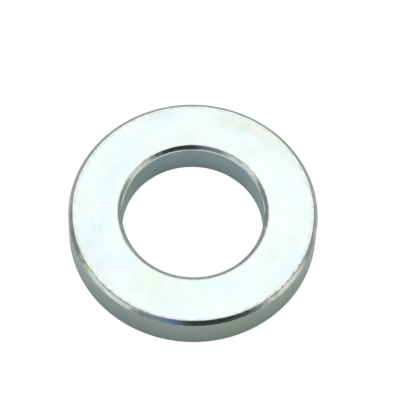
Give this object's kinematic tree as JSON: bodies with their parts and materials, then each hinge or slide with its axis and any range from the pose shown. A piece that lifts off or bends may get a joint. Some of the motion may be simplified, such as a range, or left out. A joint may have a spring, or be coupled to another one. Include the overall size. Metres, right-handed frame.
{
  "type": "flat washer",
  "caption": "Plain round flat washer with a central bore and a chamfer on both edges of its upper face.",
  "frame": {"origin": "centre of the flat underside, on the bore's axis", "axes": "+Z along the bore's axis, out of the chamfered upper face; the ring is round about Z, so X and Y are free"},
  "size_m": [0.0298, 0.0298, 0.0049],
  "materials": {
    "zinc_plated_steel": "bright blue-white zinc plate on turned steel"
  },
  "bodies": {
    "root": {"washer": "zinc_plated_steel"}
  },
  "joints": []
}
